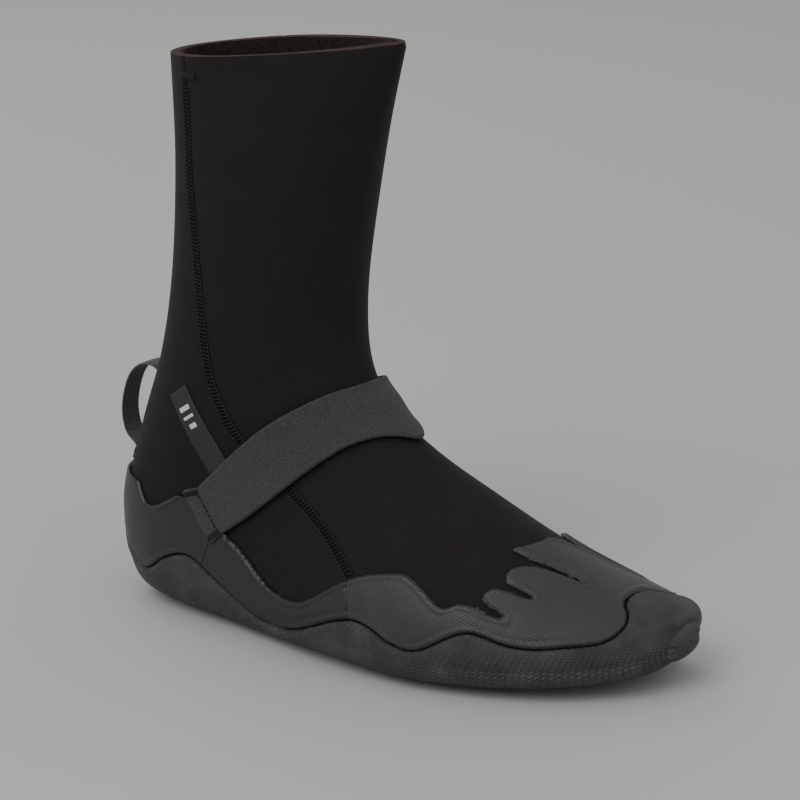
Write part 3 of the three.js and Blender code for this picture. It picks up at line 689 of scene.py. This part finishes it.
def rubber():
    heel, ball = np.array(HEEL_JOIN, float), np.array(BALL_JOIN, float)
    behind_heel = outline(heel - [GAP / 2, 0], (LOW, heel[-1, 1]), (LOW, heel[0, 1]))
    past_heel = side_view(ahead(heel + [GAP / 2, 0]))
    before_ball = side_view(outline(ball - [GAP / 2, 0], (LOW, ball[-1, 1]), (LOW, ball[0, 1])))
    between = lambda p, t: np.minimum(past_heel(p, t), before_ball(p, t))
    outer = lambda p, t: np.minimum(between(p, t), -p[..., 1])
    inner = lambda p, t: np.minimum(between(p, t), p[..., 1])
    past_ball = side_view(ahead(ball + [GAP / 2, 0]))
    pieces = (
        ("heel_cup", SMOOTH, "smooth_rubber", side_view(behind_heel), (3.2, 7.4), (300, 320)),
        ("outer_rand", SMOOTH, "smooth_rubber", outer, (4.6, 8.6), (280, 400)),
        ("inner_rand", SMOOTH, "smooth_rubber", inner, (4.6, 8.6), (280, 400)),
        ("toe_cap", GRAIN, "grain_rubber", past_ball, (7.0, END + 0.8), (240, 310)),
    )
    for name, material, slot, part, stations, grid in pieces:
        def region(p, t):
            return np.minimum(foxing(p, t), part(p, t))
        obj = layer_piece(name + "_rubber", material, region, GAP, lipped, stations, grid, edge=foxing)
        put(obj, slot, name)


TOE_RIDGE = np.array([  # y, z where the sole's bumper is thickest
    (-21, 23), (-16.5, 24), (-12, 24.9), (-7.1, 25.6), (-0.7, 26.7), (5, 27.2), (10.9, 26.7), (18.7, 27),
    (27, 26.4), (33.5, 25.6),
])


def outsole():
    def thickness(depth, normal, base):
        """Thin at the sides and thick where the surface faces down, by a smooth step of the normal's fall,
        with a ridge along the toe bumper."""
        down = np.clip((-normal[:, 2] - 0.35) / 0.6, 0, 1)
        down = down * down * (3 - 2 * down)
        side = rounded(SOLE_SIDE, 1.2)(depth)
        off = np.abs(base[:, 2] - 2 - np.interp(base[:, 1], TOE_RIDGE[:, 0], TOE_RIDGE[:, 1]))
        ridge = 0.9 * np.exp(-(off / 1.7) ** 2) * np.clip((base[:, 0] - 262) / 8, 0, 1)
        return GAP + side + (SOLE - SOLE_SIDE) * down + ridge
    sole = layer_piece("outsole_tread", SOLE_RUBBER, side_view(SOLE_ZONE), GAP, thickness, (4.2, END + 1),
                       (300, 240), floor=0.0)
    put(sole, "sole_rubber", "outsole")


# ---- strap -----------------------------------------------------------------------------------------------

STRAP_OUTER = outline(ANCHOR_END[0], STRAP_TOP, OVER_IT, STRAP_BOTTOM, ANCHOR_END[1])
STRAP_INNER = outline((86, 78), (83.5, 80.5), (84.2, 84.5), (98, 98.5), (113.8, 110.2), (131, 116.8),
                      OVER_IT, STRAP_BOTTOM[:25], (104, 69.5), (99, 69))
STRAP_CUT = -20  # y where the strap's two pieces meet


def strap():
    def whole(point, angle):
        x, y, z = np.moveaxis(point, -1, 0)
        return np.where(y < 0, inside(STRAP_OUTER, x, z), inside(STRAP_INNER, x, z))

    def height(depth, normal, base):
        """Webbing of even thickness, pulled down by the stitches where the anchor's hem ends."""
        a, b = ANCHOR_FOLD
        t = (b - a) / np.linalg.norm(b - a)
        ahead_of = (base[:, 0] - a[0]) * -t[1] + (base[:, 2] - a[1]) * t[0]
        dip = 0.8 * np.exp(-((ahead_of + 1.2) / 1.1) ** 2) * (base[:, 1] < 0)
        return STRAP_IN + rounded(STRAP, 0.9)(depth) - dip
    lower = lambda p, t: np.minimum(whole(p, t), STRAP_CUT - p[..., 1])
    upper = lambda p, t: np.minimum(whole(p, t), p[..., 1] - STRAP_CUT)
    near = layer_piece("strap_lower_half", STRAP_WEB, lower, STRAP_IN, height, (2.0, 9.5), (380, 300),
                       edge=whole)
    put(near, "strap_webbing", "strap_anchor", body=None)
    far = layer_piece("strap_upper_half", STRAP_WEB, upper, STRAP_IN, height, (2.0, 8.5), (330, 300),
                      edge=whole)
    put(far, "strap_webbing", "instep_strap", "strap_free_end", body=None)
    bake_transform(near)
    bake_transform(far)


def joint(name):
    return next(j for j in frame["joints"] if j["name"] == name)


HOOK_PATCH = np.array([(88, 81), (112, 104), (124, 93), (100, 72)], float)
LOOP_PATCH = np.array([(84, 77), (110, 101.5), (125, 88.5), (99, 66)], float)


def patches():
    for name, material, slot, outline_, low, body in (
        ("hook_patch", HOOKS, "hook_pile", HOOK_PATCH, STRAP_IN - GAP - PILE, "strap_tab"),
        ("loop_patch", LOOPS, "loop_pile", LOOP_PATCH, GAP, "boot"),
    ):
        side = side_view(outline_)
        past_split = lambda p, t: np.minimum(side(p, t), p[..., 1] - TAB_SPLIT - 2)
        obj = layer_piece(name + "_pile", material, past_split, low,
                          lambda d, n, b: low + rounded(PILE, 0.8)(d), (2, 9.5), (260, 220))
        put(obj, slot, name, body=body)


# Corners, and for each printed bar its middle and half length down the tab, and its half width, in mm.
SIZE_TAB_LINE = np.array([(46.4, 105.7), (56.6, 112.7), (78.6, 79.5), (69.2, 72.5)])
PRINTED_BARS = ((9.0, 1.1, 3.2), (13.2, 0.7, 3.2), (17.5, 1.1, 2.0))


def size_tab():
    side = side_view(SIZE_TAB_LINE)
    label = layer_piece("size_tab_label", LABEL, lambda p, t: np.minimum(side(p, t), -p[..., 1]), GAP,
                        lambda d, n, b: GAP + rounded(SIZE_TAB, 0.6)(d), (2, 7), (420, 420))
    put(label, "printed_tape", "size_tab")
    top, foot = SIZE_TAB_LINE[:2].mean(0), SIZE_TAB_LINE[2:].mean(0)
    down = (foot - top) / np.linalg.norm(foot - top)

    def bars(point, angle):
        """The union of three printed bars: how far each point is inside the nearest one."""
        away = point[..., [0, 2]] - top
        along_, across = away @ down, away @ np.array([-down[1], down[0]])
        each = [np.minimum(half - np.abs(along_ - middle), wide - np.abs(across))
                for middle, half, wide in PRINTED_BARS]
        return np.minimum(np.max(each, axis=0), -point[..., 1])
    height = GAP + SIZE_TAB
    print_ = layer_piece("size_tab_printed_bars", INK, bars, height - 0.2, height + 0.05, (2, 7),
                         (560, 560))
    put(print_, "printed_tape")


# ---- thread ----------------------------------------------------------------------------------------------

def onto(points, sign):
    """Stations and angles of side-view points on one side of the last: the nearest of a coarse grid of
    points, then Newton's method on the two side-view coordinates."""
    points = np.asarray(points, float)
    stations, angles = np.linspace(0, END, 200), sign * np.linspace(0.05, math.pi - 0.05, 100)
    s, t = np.meshgrid(stations, angles, indexing="ij")
    s, t = s.ravel(), t.ravel()
    grid = last(s, t)[:, [0, 2]]
    nearest = np.array([np.argmin(((grid - p) ** 2).sum(1)) for p in points])
    s, t = s[nearest], t[nearest]
    h = 1e-3
    for _ in range(6):
        miss = points - last(s, t)[:, [0, 2]]
        js = (last(s + h, t) - last(s - h, t))[:, [0, 2]] / (2 * h)
        jt = (last(s, t + h) - last(s, t - h))[:, [0, 2]] / (2 * h)
        det = js[:, 0] * jt[:, 1] - js[:, 1] * jt[:, 0]
        det = np.where(np.abs(det) < 1e-6, 1e-6, det)
        s = np.clip(s + np.clip((miss[:, 0] * jt[:, 1] - miss[:, 1] * jt[:, 0]) / det, -0.2, 0.2), 0, END)
        t = t + np.clip((js[:, 0] * miss[:, 1] - js[:, 1] * miss[:, 0]) / det, -0.2, 0.2)
    return s, t


def threads(name, paths, ups, radius, sides=5):
    """Short tubes along paths (count, points, 3): at each point a ring round the tangent, tapering at
    both ends, which are closed by one face each."""
    count, steps, _ = paths.shape
    tangent = unit(np.gradient(paths, axis=1))
    side = unit(np.cross(tangent, ups))
    up = np.cross(side, tangent)
    turn = np.linspace(0, 2 * math.pi, sides, endpoint=False)
    taper = np.ones(steps)
    taper[[0, -1]] = 0.6
    ring = (np.cos(turn)[:, None] * side[:, :, None] + np.sin(turn)[:, None] * up[:, :, None]) * radius
    vertices = paths[:, :, None] + ring * taper[None, :, None, None]
    index = np.arange(count * steps * sides).reshape(count, steps, sides)
    following = np.roll(index, -1, 2)
    quads = np.stack([index[:, :-1], index[:, 1:], following[:, 1:], following[:, :-1]], -1).reshape(-1, 4)
    faces = np.full((len(quads) + 2 * count, max(sides, 5)), -1)
    faces[:len(quads), :4] = quads
    faces[len(quads):len(quads) + count, :sides] = index[:, 0]
    faces[len(quads) + count:, :sides] = index[:, -1][:, ::-1]
    return piece(name, vertices.reshape(-1, 3), faces, THREAD)


def walk(line, pitch, start=0.0, end=0.0):
    """Points at an even pitch along a side-view line, with its direction there."""
    line = np.asarray(line, float)
    length = np.concatenate([[0], np.cumsum(np.linalg.norm(np.diff(line, axis=0), axis=1))])
    at = np.arange(start, length[-1] - end, pitch)
    point = np.stack([np.interp(at, length, line[:, k]) for k in (0, 1)], -1)
    ahead_ = np.stack([np.interp(at + 0.5, length, line[:, k]) for k in (0, 1)], -1)
    return point, unit(ahead_ - point)


def sew(name, starts, ends, sign, height, radius, arch=0.5, steps=6):
    """Stitches between side-view starts and ends, each an arch over the surface at a height above it."""
    t = np.linspace(0, 1, steps)
    flat = starts[:, None] * (1 - t)[None, :, None] + ends[:, None] * t[None, :, None]
    s, a = onto(flat.reshape(-1, 2), sign)
    normal = out_of_last(s, a).reshape(flat.shape[0], steps, 3)
    rise = height + arch * np.sin(math.pi * t)[None, :, None]
    return threads(name, last(s, a).reshape(flat.shape[0], steps, 3) + normal * rise, normal, radius)


def seam_threads():
    """Flat-seam sewing: slanted threads over the seam, and a running row along each side of it."""
    for name, sign in (("outer", 1), ("inner", -1)):
        point, run = walk(SEAM, 1.7)
        across = np.stack([-run[:, 1], run[:, 0]], -1)
        patch = LOOP_PATCH if sign < 0 else SIZE_TAB_LINE
        x, z = point.T
        for part, low, high in (("shaft", 82, 248), ("foot", -20, 82)):
            keep = (z > low) & (z < high) & (inside(VAMP, x, z) > 2.5) & (inside(patch, x, z) < -2)
            p, r, c = point[keep], run[keep], across[keep]
            starts = np.vstack([p - 1.9 * c, p - 1.9 * c, p + 1.9 * c])
            ends = np.vstack([p + 1.9 * c + 1.0 * r, p - 1.9 * c + 1.7 * r, p + 1.9 * c + 1.7 * r])
            sewing = sew(f"{name}_{part}_threads", starts, ends, sign, 0.1, 0.3, 0.35)
            put(sewing, "thread", f"{name}_{part}_stitch")
        bar = np.array([(58 + 0.9 * k, 250.7) for k in range(11)])
        tack = sew(f"{name}_cuff_bartack_threads", bar, bar + [0.3, 3.2], sign, 0.35, 0.35, 0.25)
        put(tack, "thread", f"{name}_cuff_bartack")


def anchor_threads():
    height = STRAP_IN + STRAP
    hem = ANCHOR_FOLD - 0.14 * (ANCHOR_FOLD - ANCHOR_END)
    point, run = walk(hem[[0, 1]], 2.5, 1.0, 0.6)
    row = sew("anchor_row_threads", point, point + 1.7 * run, 1, height - 0.35, 0.32, 0.35)
    put(row, "thread", "anchor_stitch")
    for name, share in (("top", 0.08), ("bottom", 0.92)):
        a = ANCHOR_END[0] + (ANCHOR_END[1] - ANCHOR_END[0]) * share
        b = ANCHOR_FOLD[0] + (ANCHOR_FOLD[1] - ANCHOR_FOLD[0]) * share
        p, r = walk(np.array([a, b]), 0.7, 1.0, 0.5)
        c = np.stack([-r[:, 1], r[:, 0]], -1)
        tack = sew(f"anchor_{name}_bartack_threads", p - 1.3 * c, p + 1.3 * c + 0.4 * r, 1, height - 0.1,
                   0.3, 0.3)
        put(tack, "thread", f"anchor_bartack_{name}")


# ---- heel loop -------------------------------------------------------------------------------------------

PULL = np.array([
    (12.5, 107.3), (7, 107.6), (1.5, 105), (-2.8, 99.5), (-5.7, 91.5), (-6.9, 84), (-6.4, 77.5), (-4.2, 72),
])


def pull_loop():
    """A ribbon of webbing: a flat rounded rectangle carried along a side-view path, both ends sewn flat."""
    s = np.linspace(3.58, 3.36, 8)
    top = last(s, np.full(8, math.pi)) + out_of_last(s, np.full(8, math.pi)) * (GAP + 0.65)
    s = np.linspace(4.33, 4.52, 8)
    bottom = last(s, np.full(8, math.pi)) + out_of_last(s, np.full(8, math.pi)) * (2.0 + GAP + 0.65)
    path = smooth(np.vstack([top[::2][:, [0, 2]], PULL, bottom[::2][:, [0, 2]]]), 8)
    run = unit(np.gradient(path, axis=0))
    out = np.stack([-run[:, 1], run[:, 0]], -1)
    turn = np.linspace(0, 2 * math.pi, 24, endpoint=False)
    half, thick = 6.0, 0.6
    wide = half * np.sign(np.cos(turn)) * np.abs(np.cos(turn)) ** 0.25
    deep = thick * np.sign(np.sin(turn)) * np.abs(np.sin(turn)) ** 0.6
    vertices = np.stack([
        path[:, None, 0] + out[:, None, 0] * deep,
        np.broadcast_to(wide, (len(path), 24)),
        path[:, None, 1] + out[:, None, 1] * deep,
    ], -1)
    index = np.arange(len(path) * 24).reshape(len(path), 24)
    following = np.roll(index, -1, 1)
    quads = np.stack([index[:-1], following[:-1], following[1:], index[1:]], -1).reshape(-1, 4)
    faces = np.full((len(quads) + 2, 24), -1)
    faces[:len(quads), :4] = quads
    faces[-2] = index[0][::-1]
    faces[-1] = index[-1]
    length = np.concatenate([[0], np.cumsum(np.linalg.norm(np.diff(path, axis=0), axis=1))])
    uv = np.stack(np.broadcast_arrays(wide[None], length[:, None]), -1)
    loop = piece("pull_loop_ribbon", vertices.reshape(-1, 3), faces, LOOP_WEB, uv.reshape(-1, 2))
    put(loop, "loop_webbing", "heel_pull_loop", "loop_end_top", "loop_end_bottom", body=None)
    swing = joint("loop_swing")
    out_ = unit(np.cross(swing["axis"], (0, 1, 0)))
    out_ *= -np.sign(out_[0])
    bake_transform(loop)


foam_panels()
lining()
rubber()
outsole()
strap()
patches()
size_tab()
seam_threads()
anchor_threads()
pull_loop()

# ---- studio ----------------------------------------------------------------------------------------------

def studio():
    floor_mesh = bpy.data.meshes.new("studio_floor")
    floor_mesh.from_pydata([(-6, -6, 0), (6, -6, 0), (6, 6, 0), (-6, 6, 0)], [], [(0, 1, 2, 3)])
    floor = bpy.data.objects.new("studio_floor", floor_mesh)
    bpy.context.scene.collection.objects.link(floor)
    material, tree, shader, at = finish("painted_studio_floor", 0.9, 0.2)
    shader.inputs["Base Color"].default_value = linear("c2c2c0")
    floor_mesh.materials.append(material)
    world = bpy.data.worlds.new("studio")
    bpy.context.scene.world = world
    world.use_nodes = True
    world.node_tree.nodes["Background"].inputs[0].default_value = linear("b2b2b2")
    world.node_tree.nodes["Background"].inputs[1].default_value = 1.25
    for name, azimuth, elevation, distance, size, power in (
        ("key", -5, 42, 2.4, 1.6, 24),
        ("fill", 75, 35, 2.6, 1.8, 6),
        ("rim", -120, 40, 2.4, 1.4, 8),
    ):
        light = bpy.data.lights.new(name, "AREA")
        light.energy, light.size = power, size
        lamp = bpy.data.objects.new(name, light)
        a, e = math.radians(azimuth), math.radians(elevation)
        back = Vector((math.sin(a) * math.cos(e), -math.cos(a) * math.cos(e), math.sin(e)))
        lamp.location = Vector((0, 0, 0.1)) + back * distance
        lamp.rotation_mode = "QUATERNION"
        lamp.rotation_quaternion = (-back).to_track_quat("-Z", "Y")
        bpy.context.scene.collection.objects.link(lamp)


def camera():
    lens = bpy.data.cameras.new("camera")
    lens.lens, lens.sensor_width = 122.07, 36
    cam = bpy.data.objects.new("camera", lens)
    a, e = math.radians(33.96), math.radians(16.12)
    back = Vector((math.sin(a) * math.cos(e), -math.cos(a) * math.cos(e), math.sin(e)))
    cam.location = Vector(metres((149.12, -3.17, 112.31))) + back * 1.1896
    cam.rotation_mode = "QUATERNION"
    cam.rotation_quaternion = (-back).to_track_quat("-Z", "Y")
    bpy.context.scene.collection.objects.link(cam)
    bpy.context.scene.camera = cam


studio()
camera()
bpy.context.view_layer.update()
